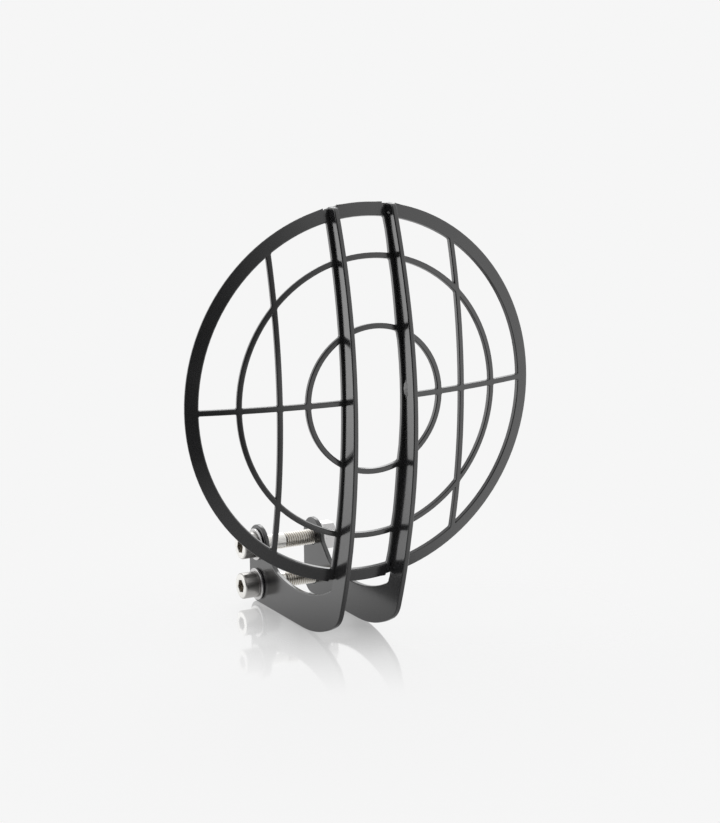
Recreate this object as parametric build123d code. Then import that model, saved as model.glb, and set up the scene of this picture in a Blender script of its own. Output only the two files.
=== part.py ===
from build123d import *
import os
from math import asin, cos, degrees, hypot, radians, sin, sqrt

# Guard for a round motorcycle headlight: a pressed sheet grille, stiffened by two upright side plates
# that run down into a clamp, where two screws fix it to the lamp bracket. Millimetres.
# The origin is in the middle of the clamp, between the plates and halfway between the screws.
# +X is to the right seen from in front, +Y to the rear, +Z up.

# Grille
GRILLE_SHEET = 2.0
DOME_RADIUS = 264.0
RING_RADIUS = 90.0
RING_FORWARD = 83.4
RING_ABOVE = 100.0
RING_BAND = 5.9
BAR_WIDTH = 2.0
MIDDLE_RING_RADIUS = 66.1
INNER_RING_RADIUS = 34.2
UPRIGHT_X = 47.5
RIB_BAR_INNER_X = 11.9
RIB_BAR_OUTER_X = 17.5
RIB_BAR_BOW = 1.1
CORNER_CUT = 0.6
NOTCH_WIDTH = 7.2
NOTCH_DEPTH = 0.8
NOTCH_CORNER = 0.7

# Side plates
PLATE_SHEET = 2.5
PLATE_GAP = 28.0
RIB_SEAT_GAP = 0.02
RIB_FRONT_RADIUS = 268.0
RIB_HEIGHT = 8.5
RIB_ARC_DROP = 8.2
RIB_TOP_CORNER = 2.5
FOOT_DROP = 20.0
FOOT_SWEEP_RADIUS = 70.0
FOOT_FLAT_FRONT = 49.4
FOOT_FRONT_CORNER = 15.0
FOOT_REAR_CORNER = 8.0
EAR_RADIUS = 9.8
EAR_SLANT = 45.0
EAR_FRONT_CORNER = 5.0
CRESCENT_RADIUS = 85.0
CRESCENT_FORWARD = 43.4
CRESCENT_DROP = 2.4
CRESCENT_REAR_CORNER = 12.0
CRESCENT_FRONT_CORNER = 8.0

# Clamp screws, washers and nuts
SCREW_PITCH = 20.5
SCREW_DIAMETER = 8.0
SCREW_LENGTH = 45.0
SCREW_TIP_CHAMFER = 1.0
HOLE_CLEARANCE = 0.25
HEAD_DIAMETER = 13.0
HEAD_HEIGHT = 8.0
HEAD_CHAMFER = 0.7
HEX_KEY = 6.0
HEX_KEY_DEPTH = 4.0
HEX_KEY_TURN = 11.0
WASHER_DIAMETER = 16.0
WASHER_THICKNESS = 1.6
WASHER_CLEARANCE = 0.2
NUT_FLATS = 13.0
NUT_HEIGHT = 6.8
NUT_CHAMFER = 0.8
THREAD_CLEARANCE = 0.05

# Tack welds between the plates and the grille
WELD_RADIUS = 1.5
WELD_INSET = 0.25
WELD_END_CUT = 0.8
MIDDLE_WELD_LENGTH = 8.0
RING_WELD_LENGTH = 5.0

# Places that follow from the sizes above
DOME_CENTRE = Vector(0, sqrt(DOME_RADIUS**2 - RING_RADIUS**2) - RING_FORWARD, RING_ABOVE)
RING_MIDDLE_RADIUS = RING_RADIUS - RING_BAND / 2
PLATE_INNER_X = PLATE_GAP / 2
PLATE_MIDDLE_X = PLATE_INNER_X + PLATE_SHEET / 2
PLATE_OUTER_X = PLATE_INNER_X + PLATE_SHEET
WASHER_FACE_X = PLATE_OUTER_X + WASHER_THICKNESS
SCREW_HEIGHTS = (-SCREW_PITCH / 2, SCREW_PITCH / 2)


def strip(start, end, spare):
    """Section of a strip of the dome between two angles from its axis, cut past both faces of the sheet."""
    first = degrees(start) - 90
    turn = degrees(end - start)
    front = CenterArc((0, 0), DOME_RADIUS + spare, first, turn)
    back = CenterArc((0, 0), DOME_RADIUS - GRILLE_SHEET - spare, first, turn)
    return make_face([front, back, Line(front @ 0, back @ 0), Line(front @ 1, back @ 1)])


def ring(inner_radius, outer_radius):
    return revolve(strip(asin(inner_radius / DOME_RADIUS), asin(outer_radius / DOME_RADIUS), spare=2), Axis.Y)


def upright(inner_x, outer_x):
    """A bar that runs up the dome at one distance from its middle, and ends within the outer ring."""
    middle_x = (inner_x + outer_x) / 2
    reach = sqrt(RING_MIDDLE_RADIUS**2 - middle_x**2)
    swing = degrees(asin(reach / sqrt(DOME_RADIUS**2 - middle_x**2)))
    section = strip(asin(inner_x / DOME_RADIUS), asin(outer_x / DOME_RADIUS), spare=3)
    return revolve(Rot(X=-swing) * section, Axis.X, 2 * swing)


def rib_bar():
    """The wide bar under a rib. Its inner edge bows outward within the inner ring."""
    bow_radius = INNER_RING_RADIUS**2 / (2 * RIB_BAR_BOW)
    bow = Rot(X=90) * Cylinder(bow_radius, 3 * DOME_RADIUS)
    return upright(RIB_BAR_INNER_X, RIB_BAR_OUTER_X) - Pos(X=RIB_BAR_INNER_X + RIB_BAR_BOW - bow_radius) * bow


def crossbar():
    """The level bar from a rib bar out to the outer ring."""
    half_width = asin(BAR_WIDTH / 2 / DOME_RADIUS)
    start = degrees(asin((RIB_BAR_INNER_X + RIB_BAR_OUTER_X) / 2 / DOME_RADIUS))
    end = degrees(asin(RING_MIDDLE_RADIUS / DOME_RADIUS))
    section = Rot(Y=-90) * strip(-half_width, half_width, spare=4)
    return revolve(Rot(Z=start) * section, Axis.Z, end - start)


def notches():
    """Shallow notches in the ring's outer edge, where the side plates cross it."""
    height = 2 * (NOTCH_DEPTH + NOTCH_CORNER)
    profile = RectangleRounded(NOTCH_WIDTH, height, NOTCH_CORNER)
    cutter = extrude(Plane.XZ * profile, RING_FORWARD / 2, both=True)
    outward = Pos(0, 0, RING_RADIUS - NOTCH_DEPTH + height / 2)
    turn = degrees(asin(PLATE_MIDDLE_X / RING_RADIUS))
    ring_centre = Pos(0, -RING_FORWARD, RING_ABOVE)
    return [ring_centre * Rot(Y=angle) * outward * cutter for angle in (turn, -turn, 180 + turn, 180 - turn)]


def make_grille():
    """One sheet, cut through square to its surface and pressed to a shallow dome."""
    half_bar = BAR_WIDTH / 2
    bars = [
        upright(UPRIGHT_X - half_bar, UPRIGHT_X + half_bar),
        rib_bar(),
        crossbar(),
    ]
    pattern = Part() + [
        ring(RING_RADIUS - RING_BAND, RING_RADIUS),
        ring(MIDDLE_RING_RADIUS - half_bar, MIDDLE_RING_RADIUS + half_bar),
        ring(INNER_RING_RADIUS - half_bar, INNER_RING_RADIUS + half_bar),
        *bars,
        *[mirror(bar, Plane.YZ) for bar in bars],
    ]
    sheet = (Sphere(DOME_RADIUS) - Sphere(DOME_RADIUS - GRILLE_SHEET)) & pattern
    walls = sheet.edges().filter_by(lambda edge: abs(edge.length - GRILLE_SHEET) < GRILLE_SHEET / 20)
    corners = walls.filter_by(lambda edge: hypot(edge.center().X, edge.center().Z) < RING_MIDDLE_RADIUS)
    return Pos(DOME_CENTRE) * chamfer(corners, CORNER_CUT) - notches()


def crossing(centre_a, radius_a, centre_b, radius_b):
    """Where two circles cross, to the left of the way from the first centre to the second."""
    way = centre_b - centre_a
    along = (way.length**2 + radius_a**2 - radius_b**2) / (2 * way.length)
    unit = way.normalized()
    return centre_a + unit * along + Vector(-unit.Y, unit.X) * sqrt(radius_a**2 - along**2)


def run_out(start, direction, centre, radius):
    """Where a straight run that starts inside a circle comes to it."""
    offset = start - centre
    ahead = offset.dot(direction)
    return start + direction * (sqrt(ahead**2 - offset.length**2 + radius**2) - ahead)


def arc(centre, start, end):
    """The shorter arc about a centre."""
    halfway = (start - centre + (end - centre)).normalized() * (start - centre).length
    return ThreePointArc(start, centre + halfway, end)


def plate_outline():
    """Side view of a plate, the rear to the right: a rib on the dome above, a foot with an ear below."""
    seat_radius = sqrt(DOME_RADIUS**2 - PLATE_INNER_X**2) + RIB_SEAT_GAP
    seat = Vector(DOME_CENTRE.Y, DOME_CENTRE.Z)
    rib = Vector(DOME_CENTRE.Y - DOME_RADIUS - RIB_HEIGHT + RIB_FRONT_RADIUS, RING_ABOVE - RIB_ARC_DROP)
    sweep = Vector(-FOOT_FLAT_FRONT, FOOT_SWEEP_RADIUS - FOOT_DROP)
    crescent = Vector(-CRESCENT_FORWARD, CRESCENT_RADIUS - CRESCENT_DROP)
    ear = Vector(0, SCREW_PITCH / 2)
    slant = Vector(-cos(radians(EAR_SLANT)), -sin(radians(EAR_SLANT)))

    top = RING_ABOVE + sqrt(RING_RADIUS**2 - PLATE_MIDDLE_X**2)
    top_rear = Vector(seat.X - sqrt(seat_radius**2 - (top - seat.Y) ** 2), top)
    top_front = Vector(rib.X - sqrt(RIB_FRONT_RADIUS**2 - (top - rib.Y) ** 2), top)
    foot_front = crossing(rib, RIB_FRONT_RADIUS, sweep, FOOT_SWEEP_RADIUS)
    foot_flat = Vector(sweep.X, -FOOT_DROP)
    foot_rear = Vector(EAR_RADIUS, -FOOT_DROP)
    ear_rear = ear + Vector(EAR_RADIUS, 0)
    ear_front = ear - Vector(EAR_RADIUS, 0)
    slant_end = run_out(ear_front, slant, crescent, CRESCENT_RADIUS)
    throat = crossing(seat, seat_radius, crescent, CRESCENT_RADIUS)

    outline = make_face([
        Line(top_rear, top_front),
        arc(rib, top_front, foot_front),
        arc(sweep, foot_front, foot_flat),
        Line(foot_flat, foot_rear),
        Line(foot_rear, ear_rear),
        ThreePointArc(ear_rear, ear + Vector(0, EAR_RADIUS), ear_front),
        Line(ear_front, slant_end),
        arc(crescent, slant_end, throat),
        arc(seat, throat, top_rear),
    ])
    corners = [
        (top_front, RIB_TOP_CORNER),
        (foot_front, FOOT_FRONT_CORNER),
        (foot_rear, FOOT_REAR_CORNER),
        (ear_front, EAR_FRONT_CORNER),
        (slant_end, CRESCENT_REAR_CORNER),
        (throat, CRESCENT_FRONT_CORNER),
    ]
    for corner, radius in corners:
        outline = fillet(outline.vertices().sort_by_distance(corner)[0], radius)
    hole = Circle(SCREW_DIAMETER / 2 + HOLE_CLEARANCE)
    return outline - [Pos(0, height) * hole for height in SCREW_HEIGHTS]


def make_side_plate():
    """The right-hand plate, cut from flat sheet."""
    return extrude(Plane.YZ.offset(PLATE_INNER_X) * plate_outline(), PLATE_SHEET)


def turned(*profile):
    """A body turned about the screw's axis, from points given as (place along X, radius)."""
    return revolve(make_face(Polyline(*profile, close=True)), Axis.X)


def hexagon(flats, start, length, turn=0):
    outline = RegularPolygon(flats / 2, 6, major_radius=False, rotation=-turn)
    return extrude(Plane.YZ.offset(start) * outline, length)


def make_screw():
    """Socket head cap screw, put in from the left."""
    seat = -WASHER_FACE_X
    head = seat - HEAD_HEIGHT
    tip = seat + SCREW_LENGTH
    shank = SCREW_DIAMETER / 2
    body = turned(
        (head, 0),
        (head, HEAD_DIAMETER / 2 - HEAD_CHAMFER),
        (head + HEAD_CHAMFER, HEAD_DIAMETER / 2),
        (seat, HEAD_DIAMETER / 2),
        (seat, shank),
        (tip - SCREW_TIP_CHAMFER, shank),
        (tip, shank - SCREW_TIP_CHAMFER),
        (tip, 0),
    )
    return body - hexagon(HEX_KEY, head, HEX_KEY_DEPTH, HEX_KEY_TURN)


def make_washer():
    """The washer under the nut, against the right-hand plate."""
    bore = SCREW_DIAMETER / 2 + WASHER_CLEARANCE
    rim = WASHER_DIAMETER / 2
    return turned(
        (PLATE_OUTER_X, bore),
        (PLATE_OUTER_X, rim),
        (WASHER_FACE_X, rim),
        (WASHER_FACE_X, bore),
    )


def make_nut():
    """Hexagon nut on the right, its corners turned off at both faces."""
    bore = SCREW_DIAMETER / 2 + THREAD_CLEARANCE
    corner = NUT_FLATS / sqrt(3)
    end = WASHER_FACE_X + NUT_HEIGHT
    blank = turned(
        (WASHER_FACE_X, bore),
        (WASHER_FACE_X, corner - NUT_CHAMFER),
        (WASHER_FACE_X + NUT_CHAMFER / 2, corner),
        (end - NUT_CHAMFER / 2, corner),
        (end, corner - NUT_CHAMFER),
        (end, bore),
    )
    return blank & hexagon(NUT_FLATS, WASHER_FACE_X, NUT_HEIGHT)


def make_weld(height, length, side_plate, grille):
    """A tack weld in the corner of the right-hand rib and the grille, at a height from the ring's middle."""
    run = extrude(RegularPolygon(WELD_RADIUS, 8), length / 2, both=True)
    run = chamfer([face.edges() for face in run.faces().filter_by(Axis.Z)], WELD_END_CUT)
    seat_radius = sqrt(DOME_RADIUS**2 - PLATE_INNER_X**2)
    corner = Pos(PLATE_INNER_X - WELD_INSET, -seat_radius - WELD_INSET, 0)
    swing = Rot(X=-degrees(asin(height / seat_radius)))
    return Pos(DOME_CENTRE) * swing * corner * run - side_plate - grille


def left_of(right):
    return mirror(right, Plane.YZ)


def at_screws(solid):
    return [Pos(Z=height) * solid for height in SCREW_HEIGHTS]


grille = make_grille()
right_plate = make_side_plate()
washer = make_washer()
ring_weld_height = sqrt((RING_MIDDLE_RADIUS - NOTCH_DEPTH / 2) ** 2 - PLATE_INNER_X**2)
right_welds = [
    make_weld(ring_weld_height, RING_WELD_LENGTH, right_plate, grille),
    make_weld(0, MIDDLE_WELD_LENGTH, right_plate, grille),
    make_weld(-ring_weld_height, RING_WELD_LENGTH, right_plate, grille),
]
nodes = {
    "grille": [grille],
    "right_side_plate": [right_plate],
    "left_side_plate": [left_of(right_plate)],
    "weld_beads": right_welds + [left_of(weld) for weld in right_welds],
    "washers": at_screws(washer) + at_screws(left_of(washer)),
    "socket_screws": at_screws(make_screw()),
    "hex_nuts": at_screws(make_nut()),
}

os.makedirs("parts", exist_ok=True)
for name, pieces in nodes.items():
    solids = [solid for piece in pieces for solid in piece.solids()]
    export_step(solids[0] if len(solids) == 1 else Compound(solids), f"parts/{name}.step")
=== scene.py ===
from math import asin, atan2, ceil, cos, hypot, pi, radians, sin, sqrt

import bmesh
import bpy
from mathutils import Matrix, Vector, noise


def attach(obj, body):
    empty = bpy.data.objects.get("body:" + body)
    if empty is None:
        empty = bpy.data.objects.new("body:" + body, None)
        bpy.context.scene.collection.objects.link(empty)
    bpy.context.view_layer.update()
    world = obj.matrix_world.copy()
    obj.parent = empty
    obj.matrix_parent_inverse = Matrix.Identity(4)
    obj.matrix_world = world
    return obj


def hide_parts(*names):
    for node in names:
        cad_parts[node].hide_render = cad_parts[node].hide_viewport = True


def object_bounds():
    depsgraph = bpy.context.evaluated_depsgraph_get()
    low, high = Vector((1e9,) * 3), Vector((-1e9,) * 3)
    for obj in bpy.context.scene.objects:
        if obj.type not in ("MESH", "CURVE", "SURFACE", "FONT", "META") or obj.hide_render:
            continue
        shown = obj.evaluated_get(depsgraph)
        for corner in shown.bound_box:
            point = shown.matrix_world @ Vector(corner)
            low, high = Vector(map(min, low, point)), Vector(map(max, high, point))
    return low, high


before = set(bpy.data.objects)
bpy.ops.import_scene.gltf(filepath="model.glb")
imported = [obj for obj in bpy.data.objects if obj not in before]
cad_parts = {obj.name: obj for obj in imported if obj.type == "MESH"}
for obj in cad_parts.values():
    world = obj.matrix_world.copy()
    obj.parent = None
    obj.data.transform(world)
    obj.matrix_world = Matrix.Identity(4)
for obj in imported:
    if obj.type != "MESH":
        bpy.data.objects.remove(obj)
cad_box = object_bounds()

# Grille: one sheet of aluminium, laser-cut into rings and bars, pressed to a shallow dome and coated in
# satin black. The coated bars are a little wider than the cut ones, and their broken front edges catch
# the light as thin lines.
MM = 0.001
MERGE = 0.002 * MM
SHARP = radians(40)
DOME_RADIUS = 264 * MM
DOME_CENTRE = Vector((0, 164.785, 100)) * MM
DOME_TOLERANCE = 0.3 * MM
GRILLE_EDGE = 0.52 * MM
WALL_COAT = 0.3 * MM
WALL_LEAN = 0.5
INSIDE_RIM = 88 * MM
RIB_BAR_MIDDLE = 15 * MM
SIDEWAYS = 0.9
QUAD_BEND = radians(12)
QUAD_SKEW = radians(60)
COAT_DEEP = (0.010, 0.010, 0.0105, 1)
COAT_PALE = (0.018, 0.018, 0.019, 1)
COAT_CLOUD = 22 * MM
COAT_SPECK = 0.5 * MM
COAT_ROUGHNESS = 0.14
CLOUD_ROUGHNESS = 0.05
SPECK_ROUGHNESS = 0.03


class Signal:
    """One output of a shader node. Sums and products of signals add Math nodes to its tree."""

    def __init__(self, finish, socket):
        self.finish = finish
        self.socket = socket

    def maths(self, operation, *values):
        return self.finish.node("Math", {"operation": operation}, dict(enumerate(values)))

    def __add__(self, other):
        return self.maths("ADD", self, other)

    def __sub__(self, other):
        return self.maths("SUBTRACT", self, other)

    def __mul__(self, other):
        return self.maths("MULTIPLY", self, other)

    def __truediv__(self, other):
        return self.maths("DIVIDE", self, other)

    def __rsub__(self, other):
        return self.maths("SUBTRACT", other, self)

    def __abs__(self):
        return self.maths("ABSOLUTE", self)

    __radd__ = __add__
    __rmul__ = __mul__


class Finish:
    """The shader nodes of a material or of the world."""

    def __init__(self, owner):
        self.owner = owner
        owner.use_nodes = True
        owner.node_tree.nodes.clear()

    def node(self, kind, settings=None, sockets=None, output=0):
        made = self.owner.node_tree.nodes.new("ShaderNode" + kind)
        for name, value in (settings or {}).items():
            setattr(made, name, value)
        for name, value in (sockets or {}).items():
            if isinstance(value, Signal):
                self.owner.node_tree.links.new(value.socket, made.inputs[name])
            else:
                made.inputs[name].default_value = value
        return Signal(self, made.outputs[output]) if made.outputs else None

    def mix(self, factor, first, second):
        settings = {"data_type": "RGBA"}
        return self.node("Mix", settings, {0: factor, 6: first, 7: second}, output=2)

    def rise(self, value, start, end):
        """0 until a value comes to its start, 1 from its end, smooth between."""
        settings = {"interpolation_type": "SMOOTHSTEP"}
        return self.node("MapRange", settings, {0: value, 1: start, 2: end})

    def grain(self, place, size):
        """Soft noise whose spots are about one size across, in metres."""
        return self.node("TexNoise", {}, {"Vector": place, "Scale": 1 / size, "Detail": 2})


def black_coating():
    """Satin black coat: nearly even, with a fine texture in the gloss."""
    finish = Finish(bpy.data.materials.new("black_coating"))
    place = finish.node("TexCoord", output="Object")
    cloud = finish.grain(place, COAT_CLOUD)
    speck = finish.grain(place, COAT_SPECK)
    bump = finish.node("Bump", {}, {"Strength": 0.06, "Distance": 0.05 * MM, "Height": speck})
    coat = finish.node("BsdfPrincipled", {}, {
        "Base Color": finish.mix(cloud, COAT_DEEP, COAT_PALE),
        "Roughness": COAT_ROUGHNESS + CLOUD_ROUGHNESS * cloud + SPECK_ROUGHNESS * speck,
        "IOR": 1.75,
        "Normal": bump,
    })
    finish.node("OutputMaterial", {}, {"Surface": coat})
    return finish.owner


def skin_of(node):
    """A copy of a CAD node's shape with its loose triangles merged."""
    skin = bmesh.new()
    skin.from_mesh(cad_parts[node].data)
    bmesh.ops.remove_doubles(skin, verts=skin.verts, dist=MERGE)
    return skin


def sharp_edges(skin):
    return [edge for edge in skin.edges if edge.is_manifold and edge.calc_face_angle() > SHARP]


def on_dome(edge):
    """True of an edge in the grille's front face."""
    heights = [(vert.co - DOME_CENTRE).length - DOME_RADIUS for vert in edge.verts]
    return all(abs(height) < DOME_TOLERANCE for height in heights)


def break_edges(skin, edges, width, segments):
    """Rounds edges as tumbling and coating do."""
    bmesh.ops.bevel(
        skin, geom=edges, offset=width, offset_type="OFFSET", segments=segments, profile=0.5,
        affect="EDGES", material=-1, clamp_overlap=False,
    )


def finished(name, skin, material, node):
    """Makes a piece of a bmesh, in place of a CAD node."""
    mesh = bpy.data.meshes.new(name)
    skin.to_mesh(mesh)
    skin.free()
    if "custom_normal" in mesh.attributes:
        mesh.attributes.remove(mesh.attributes["custom_normal"])
    mesh.shade_smooth()
    mesh.set_sharp_from_angle(angle=SHARP)
    mesh.materials.append(material)
    piece = bpy.data.objects.new(name, mesh)
    bpy.context.scene.collection.objects.link(piece)
    weighted = piece.modifiers.new("even_faces", "WEIGHTED_NORMAL")
    weighted.keep_sharp = True
    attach(piece, "root")
    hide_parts(node)


black = black_coating()
grille_skin = skin_of("grille")
builds_up = {}
for vert in grille_skin.verts:
    spoke = vert.co - DOME_CENTRE
    lean = WALL_LEAN * spoke.length
    walls = [loop for loop in vert.link_loops if abs(loop.face.normal.dot(spoke)) < lean]
    if abs(spoke.x) < RIB_BAR_MIDDLE:
        walls = [loop for loop in walls if abs(loop.face.normal.x) < SIDEWAYS]
    if walls and hypot(spoke.x, spoke.z) < INSIDE_RIM:
        turned_out = (loop.face.normal * loop.calc_angle() for loop in walls)
        outward = sum(turned_out, Vector()).normalized()
        builds_up[vert] = outward * (WALL_COAT / outward.dot(walls[0].face.normal))
for vert, step in builds_up.items():
    vert.co += step
bmesh.ops.join_triangles(
    grille_skin, faces=grille_skin.faces, angle_face_threshold=QUAD_BEND, angle_shape_threshold=QUAD_SKEW,
)
front_edges = [edge for edge in sharp_edges(grille_skin) if on_dome(edge)]
break_edges(grille_skin, front_edges, GRILLE_EDGE, segments=3)
finished("coated_grille", grille_skin, black, "grille")

# Side plates: two flat aluminium plates, cut as mirror images and coated with the grille. The upper part
# stands on edge on the grille as a rib, which welding has bowed a little, and the lower part is a foot
# with two holes for the clamp screws.
PLATE_EDGE = 0.6 * MM
FLAT = radians(0.5)
BOWS = {"right": 0.5 * MM, "left": -0.25 * MM}
BOW_START = 30 * MM
BOW_LENGTH = 160 * MM
BOW_WAVE = 1.6 * pi
BOW_STEPS = 16


def bow(side, height):
    """How far a rib is bent along X at a height: outwards at mid height and inwards at the top."""
    return BOWS[side] * sin(BOW_WAVE * max(height - BOW_START, 0) / BOW_LENGTH)


def whole(skin):
    return [*skin.verts, *skin.edges, *skin.faces]


def flattened(node):
    """A CAD node's shape with each flat face in one piece."""
    skin = skin_of(node)
    bmesh.ops.dissolve_limit(skin, angle_limit=FLAT, verts=skin.verts, edges=skin.edges)
    return skin


for side in ("right", "left"):
    plate_skin = flattened(f"{side}_side_plate")
    free_edges = [edge for edge in sharp_edges(plate_skin) if not on_dome(edge)]
    break_edges(plate_skin, free_edges, PLATE_EDGE, segments=4)
    for step in range(BOW_STEPS):
        bmesh.ops.bisect_plane(
            plate_skin, geom=whole(plate_skin), dist=MERGE, plane_no=(0, 0, 1),
            plane_co=(0, 0, BOW_START + step * BOW_LENGTH / BOW_STEPS),
        )
    for vert in plate_skin.verts:
        vert.co.x += bow(side, vert.co.z)
    finished(f"coated_{side}_plate", plate_skin, black, f"{side}_side_plate")

# Weld beads: short tack welds in the corners between the ribs and the grille, at the ring above and below
# and at mid height, and one across each rib's top end in the notch of the ring. They are coated over with
# the rest, so only their lumpy shape shows.
PLATE_INNER_X = 14 * MM
WELD_RISE = 1.4 * MM
WELD_WIDTH = 2.4 * MM
WELD_DEPTH = 4.4 * MM
WELD_LUMP = 0.26
LUMPS_ALONG = 5.2
WELD_RUN_OUT = 0.9
RUN_OUT_START = 0.6
CORNER_WELDS = ((85.5 * MM, 5 * MM), (4 * MM, 7.4 * MM), (-85.5 * MM, 5 * MM))
TOP_WELD = Vector((0, -247.6, 88.9)) * MM
TOP_WELD_TURN = radians(9.8)
TOP_WELD_SIZE = (6.8 * MM, 2.6 * MM, 1.5 * MM)


def weld(skin, place, size, run_out=0):
    """Adds a lumpy bead, its size given along the axes of its place. It can run out to the front."""
    bead = bmesh.ops.create_uvsphere(skin, u_segments=28, v_segments=24, radius=0.5)["verts"]
    for vert in bead:
        vert.co *= 1 + WELD_LUMP * noise.noise(vert.co * LUMPS_ALONG + place.translation / MM)
        vert.co.x *= 1 - run_out * (RUN_OUT_START - vert.co.y)
    placed = Matrix.Translation(DOME_CENTRE) @ place @ Matrix.Diagonal((*size, 1))
    bmesh.ops.transform(skin, verts=bead, matrix=placed)


weld_skin = bmesh.new()
seat_radius = sqrt(DOME_RADIUS**2 - PLATE_INNER_X**2)
for side, sign in (("right", 1), ("left", -1)):
    for height, length in CORNER_WELDS:
        inner_x = sign * PLATE_INNER_X + bow(side, DOME_CENTRE.z + height)
        corner = Matrix.Translation((inner_x, -seat_radius - WELD_RISE, 0))
        swing = Matrix.Rotation(-asin(height / seat_radius), 4, "X")
        weld(weld_skin, swing @ corner, (WELD_WIDTH, WELD_DEPTH, length), WELD_RUN_OUT)
    turned = Matrix.Rotation(sign * TOP_WELD_TURN, 4, "Y")
    bowed = Matrix.Translation((bow(side, DOME_CENTRE.z + TOP_WELD.z), 0, 0))
    weld(weld_skin, bowed @ turned @ Matrix.Translation(TOP_WELD), TOP_WELD_SIZE)
finished("coated_weld_beads", weld_skin, black, "weld_beads")

# Washers: four flat stainless washers, one under each screw head and one under each nut. They are punched
# from sheet and tumbled, so their edges are round, most of all on the side that lies against the plate.
SCREW_PITCH = 20.5 * MM
PLATE_OUTER_X = 16.5 * MM
WASHER_THICKNESS = 1.6 * MM
WASHER_BORE = 4.2 * MM
WASHER_RIM = 8 * MM
WASHER_EDGE = 0.35 * MM
WASHER_ROLL = 0.8 * MM
WASHER_STEPS = 96
CREST = 3.97 * MM
SEAT = -18.1 * MM
HEAD_FACE = -26.1 * MM
HEAD_RADIUS = 6.5 * MM
HEAD_FLAT = 5.6 * MM
HEAD_END = (SEAT - 0.3 * MM, SEAT + 0.2 * MM)
THREAD_HOLLOW = (CREST - 0.02 * MM, CREST - 0.42 * MM)
SOCKET_HOLLOW = (HEAD_FACE, HEAD_FACE + 0.4 * MM)
BARE_STEEL = ((0.76, 0.75, 0.72, 1), (0.82, 0.81, 0.78, 1))
# Painted shade: the screw head's side is coloured darker than its face.
HEAD_SIDE_SHADE = (0.38, 0.372, 0.36, 1)
WASHER_AND_NUT_STEEL = (0.61, 0.605, 0.605, 1)
# Painted shade: darker colours for the inside of the hexagon socket and for the thread's roots.
SOCKET_SHADE = (0.45, 0.425, 0.385, 1)
THREAD_SHADE = (0.55, 0.52, 0.47, 1)
STEEL_CLOUD = 3 * MM
STEEL_GROOVE = 0.12 * MM
STEEL_ROUGHNESS = 0.26
GROOVE_DULLNESS = 0.1
CLOUD_DULLNESS = 0.06


def bright_steel():
    """Stainless steel, turned: fine grooves run round the screws' axes. The thread's roots, the socket and
    the head's side are painted darker, as painted shade.
    """
    finish = Finish(bpy.data.materials.new("bright_steel"))
    place = finish.node("TexCoord", output="Object")
    along, across, upward = (finish.node("SeparateXYZ", {}, {0: place}, axis) for axis in "XYZ")
    upward = abs(upward) - SCREW_PITCH / 2
    squared = across * across + upward * upward
    radius = squared.maths("SQRT", squared)
    groove = finish.grain(finish.node("CombineXYZ", {}, {0: along, 1: radius}), STEEL_GROOVE)
    cloud = finish.grain(place, STEEL_CLOUD)
    bump = finish.node("Bump", {}, {"Strength": 0.25, "Distance": 0.01 * MM, "Height": groove})
    # Painted shade on the head's side, which is darker than the face; washers and nuts keep their own
    # steel tone.
    head_side_shade_and_nut_tone = finish.mix(finish.rise(along, *HEAD_END), HEAD_SIDE_SHADE, WASHER_AND_NUT_STEEL)
    bare = finish.mix(finish.rise(radius, HEAD_FLAT, HEAD_RADIUS), finish.mix(cloud, *BARE_STEEL), head_side_shade_and_nut_tone)
    # Painted shade: the thread's roots and the hexagon socket are coloured darker, as shade in these
    # hollows.
    hollow_shade_colour = finish.mix(finish.rise(along, HEAD_FACE, SEAT), SOCKET_SHADE, THREAD_SHADE)
    hollow_shade = finish.rise(radius, *THREAD_HOLLOW) * finish.rise(along, *SOCKET_HOLLOW)
    steel = finish.node("BsdfPrincipled", {}, {
        "Base Color": finish.mix(hollow_shade, bare, hollow_shade_colour),
        "Metallic": 1.0,
        "Roughness": STEEL_ROUGHNESS + GROOVE_DULLNESS * groove + CLOUD_DULLNESS * cloud,
        "Normal": bump,
    })
    finish.node("OutputMaterial", {}, {"Surface": steel})
    return finish.owner


steel = bright_steel()
washer_skin = bmesh.new()
for height in (-SCREW_PITCH / 2, SCREW_PITCH / 2):
    for near in (PLATE_OUTER_X, -PLATE_OUTER_X - WASHER_THICKNESS):
        far = near + WASHER_THICKNESS
        section = ((near, WASHER_BORE), (near, WASHER_RIM), (far, WASHER_RIM), (far, WASHER_BORE))
        points = [washer_skin.verts.new((x, radius, height)) for x, radius in section]
        lines = [washer_skin.edges.new(ends) for ends in zip(points, points[1:] + points[:1])]
        bmesh.ops.spin(
            washer_skin, geom=points + lines, cent=(0, 0, height), axis=(1, 0, 0), angle=2 * pi,
            steps=WASHER_STEPS, use_merge=True,
        )
bmesh.ops.recalc_face_normals(washer_skin, faces=washer_skin.faces)
against_plate = [
    edge for edge in sharp_edges(washer_skin)
    if all(abs(abs(vert.co.x) - PLATE_OUTER_X) < MERGE for vert in edge.verts)
]
break_edges(washer_skin, against_plate, WASHER_ROLL, segments=4)
break_edges(washer_skin, sharp_edges(washer_skin), WASHER_EDGE, segments=3)
finished("steel_washers", washer_skin, steel, "washers")

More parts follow.
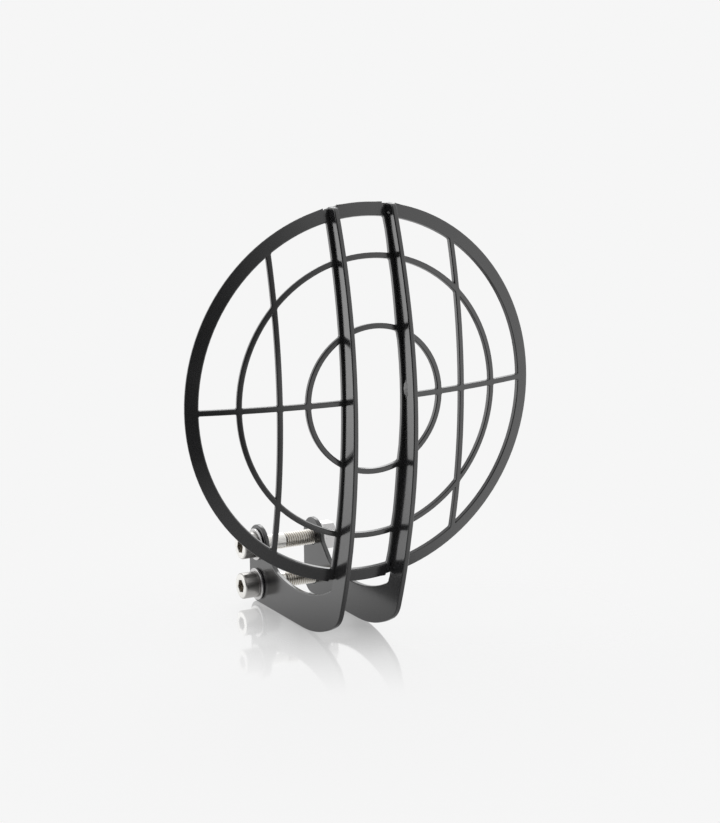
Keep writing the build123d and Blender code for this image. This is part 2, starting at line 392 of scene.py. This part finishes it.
# Socket screws: two stainless M8 cap screws, put in from the left. The head is turned, its hexagon socket
# pressed, and the thread rolled on the end of a plain shank, where it runs out.
ROOT = 3.25 * MM
THREAD_PITCH = 1.25 * MM
THREAD_STEPS = 48
ROOT_FLAT = 0.26 * MM
CREST_FLAT = 0.15 * MM
THREAD_START = -2.4 * MM
TURNS_BEFORE = 2
TURNS_AFTER = 1
RUN_OUT = 0.6
SCREW_TIP = 26.9 * MM
TIP_RADIUS = 3 * MM
SOCKET_FLAT = 3 * MM
SOCKET_MOUTH = 3.25 * MM
SOCKET_TURN = radians(-11)
SOCKET_FLOOR = -22.1 * MM
SOCKET_POINT = -20.9 * MM
DRILL_RADIUS = 0.97 * SOCKET_FLAT
DRILL_TIP = 0.05 * SOCKET_FLAT
HEAD_OUTLINE = (
    (SEAT, CREST),
    (SEAT, 6.2 * MM),
    (SEAT - 0.1 * MM, 6.42 * MM),
    (SEAT - 0.3 * MM, HEAD_RADIUS),
    (HEAD_FACE + 0.75 * MM, HEAD_RADIUS),
    (HEAD_FACE + 0.55 * MM, 6.43 * MM),
    (HEAD_FACE + 0.1 * MM, 5.95 * MM),
    (HEAD_FACE, 5.7 * MM),
)


def drawn_to(skin, loop, x, radius_at):
    """Extrudes a loop about the screw's axis to a place along it, with a radius for each angle."""
    made = bmesh.ops.extrude_edge_only(skin, edges=loop)["geom"]
    for vert in made:
        if isinstance(vert, bmesh.types.BMVert):
            angle = atan2(vert.co.z, vert.co.y)
            radius = radius_at(angle)
            vert.co = (x, radius * cos(angle), radius * sin(angle))
    return [edge for edge in made if isinstance(edge, bmesh.types.BMEdge) and edge.is_boundary]


def circle(radius):
    """Radius of a circle, which is the same at every angle."""
    return lambda angle: radius


def hexagon(flat):
    """Radius of a hexagon at an angle, from half its width across flats."""
    return lambda angle: flat / cos((angle - SOCKET_TURN) % (pi / 3) - pi / 6)


screw_skin = bmesh.new()
flank = (THREAD_PITCH - ROOT_FLAT - CREST_FLAT) / 2
thread_line = (
    (0, ROOT),
    (ROOT_FLAT, ROOT),
    (ROOT_FLAT + flank, CREST),
    (ROOT_FLAT + flank + CREST_FLAT, CREST),
    (THREAD_PITCH, ROOT),
)
first_turn = THREAD_START - TURNS_BEFORE * THREAD_PITCH
points = [
    screw_skin.verts.new((first_turn + x, radius * cos(SOCKET_TURN), radius * sin(SOCKET_TURN)))
    for x, radius in thread_line
]
lines = [screw_skin.edges.new(ends) for ends in zip(points, points[1:])]
turns = TURNS_BEFORE + ceil((SCREW_TIP - THREAD_START) / THREAD_PITCH) + TURNS_AFTER
bmesh.ops.spin(
    screw_skin, geom=points + lines, axis=(1, 0, 0), angle=2 * pi * turns, steps=turns * THREAD_STEPS,
    dvec=(THREAD_PITCH / THREAD_STEPS, 0, 0),
)
bmesh.ops.remove_doubles(screw_skin, verts=screw_skin.verts, dist=MERGE)
for end, outward in ((THREAD_START, -1), (SCREW_TIP, 1)):
    bmesh.ops.bisect_plane(
        screw_skin, geom=whole(screw_skin), dist=MERGE, plane_co=(end, 0, 0), plane_no=(outward, 0, 0),
        clear_outer=True,
    )
for vert in screw_skin.verts:
    radius = hypot(vert.co.y, vert.co.z)
    running_out = CREST - (vert.co.x - THREAD_START) * RUN_OUT
    pointed = TIP_RADIUS + SCREW_TIP - vert.co.x
    vert.co.yz *= min(max(radius, running_out), pointed) / radius
rims = [edge for edge in screw_skin.edges if edge.is_boundary]
middle = (THREAD_START + SCREW_TIP) / 2
bmesh.ops.edgeloop_fill(screw_skin, edges=[edge for edge in rims if edge.verts[0].co.x > middle])
loop = [edge for edge in rims if edge.verts[0].co.x < middle]
for x, radius in HEAD_OUTLINE:
    loop = drawn_to(screw_skin, loop, x, circle(radius))
loop = drawn_to(screw_skin, loop, HEAD_FACE, hexagon(SOCKET_MOUTH))
loop = drawn_to(screw_skin, loop, HEAD_FACE + SOCKET_MOUTH - SOCKET_FLAT, hexagon(SOCKET_FLAT))
loop = drawn_to(screw_skin, loop, SOCKET_FLOOR, hexagon(SOCKET_FLAT))
loop = drawn_to(screw_skin, loop, SOCKET_FLOOR, circle(DRILL_RADIUS))
loop = drawn_to(screw_skin, loop, SOCKET_POINT, circle(DRILL_TIP))
bmesh.ops.edgeloop_fill(screw_skin, edges=loop)
bmesh.ops.recalc_face_normals(screw_skin, faces=screw_skin.faces)
second = bmesh.ops.duplicate(screw_skin, geom=whole(screw_skin))["geom"]
bmesh.ops.translate(screw_skin, verts=screw_skin.verts, vec=(0, 0, -SCREW_PITCH / 2))
upper = [vert for vert in second if isinstance(vert, bmesh.types.BMVert)]
bmesh.ops.translate(screw_skin, verts=upper, vec=(0, 0, SCREW_PITCH))
finished("steel_socket_screws", screw_skin, steel, "socket_screws")

# Hexagon nuts: two stainless M8 nuts on the right, which hold the screws' ends. They are cold-formed, with
# their corners turned off at both faces and all edges lightly broken.
NUT_EDGE = 0.12 * MM
nut_skin = flattened("hex_nuts")
break_edges(nut_skin, sharp_edges(nut_skin), NUT_EDGE, segments=2)
finished("steel_hex_nuts", nut_skin, steel, "hex_nuts")

# Camera: the photograph's view, found by fitting the rings and bars to it. It looks at the grille from in
# front on the left, a little from above, with a long lens.
AZIMUTH = radians(-27.474)
ELEVATION = radians(12.074)
ROLL = radians(0.713)
RING_CENTRE = Vector((0, -83.4, 100)) * MM
SEEN_FROM = (0.742 * MM, -8.19 * MM, 1124.95 * MM)
FOCAL_PIXELS = 2414.765
IMAGE_HEIGHT = 823
SENSOR_HEIGHT = 36
NEAREST = 50 * MM

away = Vector((sin(AZIMUTH) * cos(ELEVATION), -cos(AZIMUTH) * cos(ELEVATION), sin(ELEVATION)))
level = Vector((cos(AZIMUTH), sin(AZIMUTH), 0))
upright = away.cross(level)
right = level * cos(ROLL) - upright * sin(ROLL)
up = level * sin(ROLL) + upright * cos(ROLL)
eye = RING_CENTRE - right * SEEN_FROM[0] + up * SEEN_FROM[1] + away * SEEN_FROM[2]
camera = bpy.data.objects.new("camera", bpy.data.cameras.new("camera"))
camera.matrix_world = Matrix.Translation(eye) @ Matrix((right, up, away)).transposed().to_4x4()
camera.data.sensor_fit = "VERTICAL"
camera.data.sensor_height = SENSOR_HEIGHT
camera.data.lens = FOCAL_PIXELS * SENSOR_HEIGHT / IMAGE_HEIGHT
camera.data.clip_start = NEAREST
bpy.context.scene.collection.objects.link(camera)
bpy.context.scene.camera = camera

# Studio: a plain pale floor, polished around the object so that its feet show in it, in white surroundings
# that are dark in front on the left and brightest behind on the left. One large soft lamp hangs behind, on
# the right, and the floor keeps a faint shadow.
FLOOR_HEIGHT = cad_box[0][2]
FLOOR_REACH = 6
WHITE = 0.9216
SURROUNDINGS = 1.05
DARK = 0.06
DARK_SIDE = Vector((-0.707, -0.707, 0))
SKY_DARK = (0.15, 0.87)
FLOOR_DARK = (0.52, 0.93)
DARK_NEAR = 0.35
DARK_FAR = 300 * MM
LIT_SIDE = Vector((-0.819, 0.574, 0))
LIT_BOOST = 1
LIT_SPREAD = (0.78, 0.96)
LIT_FROM = 100 * MM
LIT_TO = 800 * MM
FRONT_SIDE = Vector((0.7, -0.714, 0))
FRONT_BOOST = 0.22
FRONT_SPREAD = (0.95, 0.995)
SHADE_CENTRE = Vector((0, -80, -20)) * MM
SHADE_REACH = 130 * MM
SHADE = 0.42
TO_CAMERA = Vector((-0.461, -0.887, 0))
ACROSS = Vector((0.887, -0.461, 0))
CONTACT_REAR = 36 * MM
CONTACT_SLOPE = 1.92
CONTACT_FRONT = 50 * MM
MIRROR = 0.54
MIRROR_FADE = 1.5
MIRROR_ROUGHNESS = 0.06
MIRROR_START = -45 * MM
MIRROR_END = 156 * MM
MIRROR_REACH = 165 * MM
MIRROR_FULL = 0.7 * MIRROR_REACH
SHADOW = 0.15
SHADOW_REACH = 300 * MM
MATT_FLOOR = 0.86
SHADED_FLOOR = 0.9
LAMP_PLACE = Vector((0.53, 0.82, 0.77))
LAMP_WIDTH = 0.9
LAMP_HEIGHT = 0.6
LAMP_POWER = 4.5

floor_skin = bmesh.new()
bmesh.ops.create_grid(floor_skin, x_segments=1, y_segments=1, size=FLOOR_REACH)
bmesh.ops.translate(floor_skin, verts=floor_skin.verts, vec=(0, 0, FLOOR_HEIGHT))
floor_mesh = bpy.data.meshes.new("floor")
floor_skin.to_mesh(floor_mesh)
floor_skin.free()
floor = bpy.data.objects.new("floor", floor_mesh)
bpy.context.scene.collection.objects.link(floor)


def grey(level):
    return (level, level, level, 1)


def towards(finish, place, direction):
    """How far a place lies in a direction."""
    settings = {"operation": "DOT_PRODUCT"}
    return finish.node("VectorMath", settings, {0: place, 1: direction}, output="Value")


def surroundings(finish, direction, dark_spread, nearby=1, lit=1):
    """Level of the studio in a direction: dark in front on the left, brightest behind on the left."""
    dark = nearby * finish.rise(towards(finish, direction, DARK_SIDE), *dark_spread)
    bright = LIT_BOOST * finish.rise(towards(finish, direction, LIT_SIDE), *LIT_SPREAD)
    bright = bright + FRONT_BOOST * finish.rise(towards(finish, direction, FRONT_SIDE), *FRONT_SPREAD)
    return (1 - (1 - DARK) * dark + lit * bright) * (1 / (1 + LIT_BOOST))


def glow_colour(finish, level):
    return finish.mix(level, grey(0), grey(SURROUNDINGS * (1 + LIT_BOOST)))


def either(finish, factor, first, second):
    return finish.node("MixShader", {}, {0: factor, 1: first, 2: second})


paper = Finish(bpy.data.materials.new("pale_floor"))
paper.owner.cycles.emission_sampling = "NONE"
place = paper.node("TexCoord", output="Object")
offset = paper.node("VectorMath", {"operation": "SUBTRACT"}, {0: place, 1: SHADE_CENTRE})
outward = paper.node("VectorMath", {"operation": "NORMALIZE"}, {0: offset})
distance = paper.node("VectorMath", {"operation": "LENGTH"}, {0: offset}, output="Value")
# Painted shadow: to glossy rays the floor glows, and this shade makes the glow darker close to the object.
shade = SHADE + (1 - SHADE) * paper.rise(distance, 0, SHADE_REACH)
nearby = paper.node("MapRange", {}, {0: distance, 1: 0, 2: DARK_FAR, 3: DARK_NEAR, 4: 1})
far_off = paper.rise(distance, LIT_FROM, LIT_TO)
reflected = shade * surroundings(paper, outward, FLOOR_DARK, nearby, far_off)
forward = towards(paper, place, TO_CAMERA)
contact = CONTACT_REAR + CONTACT_SLOPE * towards(paper, place, ACROSS)
contact = contact.maths("MINIMUM", contact, CONTACT_FRONT)
left_over = (MIRROR_END - forward) / (MIRROR_END - contact)
left_over = left_over.maths("MINIMUM", left_over.maths("MAXIMUM", left_over, 0), 1)
polish = MIRROR * left_over.maths("POWER", left_over, MIRROR_FADE)
polish = polish * paper.rise(forward, MIRROR_START, 0)
polish = polish * paper.rise(distance, MIRROR_REACH, MIRROR_FULL)
shadow = SHADOW * paper.rise(distance, SHADOW_REACH, SHADE_REACH)

matt = paper.node("BsdfDiffuse", {}, {"Color": grey(MATT_FLOOR)})
glow = paper.node("Emission", {}, {"Color": glow_colour(paper, reflected)})
unseen = either(paper, paper.node("LightPath", output="Is Glossy Ray"), matt, glow)
plain = paper.node("Emission", {}, {"Color": grey(WHITE)})
shaded = paper.node("BsdfDiffuse", {}, {"Color": grey(SHADED_FLOOR)})
mirror_sockets = {"Color": grey(WHITE / SURROUNDINGS), "Roughness": MIRROR_ROUGHNESS}
mirror = paper.node("BsdfGlossy", {}, mirror_sockets)
seen = either(paper, polish, either(paper, shadow, plain, shaded), mirror)
surface = either(paper, paper.node("LightPath", output="Is Camera Ray"), unseen, seen)
paper.node("OutputMaterial", {}, {"Surface": surface})
floor_mesh.materials.append(paper.owner)

sky = Finish(bpy.data.worlds.new("studio"))
bpy.context.scene.world = sky.owner
level = surroundings(sky, sky.node("TexCoord", output="Generated"), SKY_DARK)
camera_ray = sky.node("LightPath", output="Is Camera Ray")
colour = sky.mix(camera_ray, glow_colour(sky, level), grey(WHITE))
sky.node("OutputWorld", {}, {"Surface": sky.node("Background", {}, {"Color": colour})})

lamp = bpy.data.objects.new("soft_lamp", bpy.data.lights.new("soft_lamp", "AREA"))
lamp.data.shape = "RECTANGLE"
lamp.data.size = LAMP_WIDTH
lamp.data.size_y = LAMP_HEIGHT
lamp.data.energy = LAMP_POWER
aim = (LAMP_PLACE - RING_CENTRE).to_track_quat("Z", "Y").to_matrix().to_4x4()
lamp.matrix_world = Matrix.Translation(LAMP_PLACE) @ aim
bpy.context.scene.collection.objects.link(lamp)
bpy.context.scene.view_settings.view_transform = "Standard"
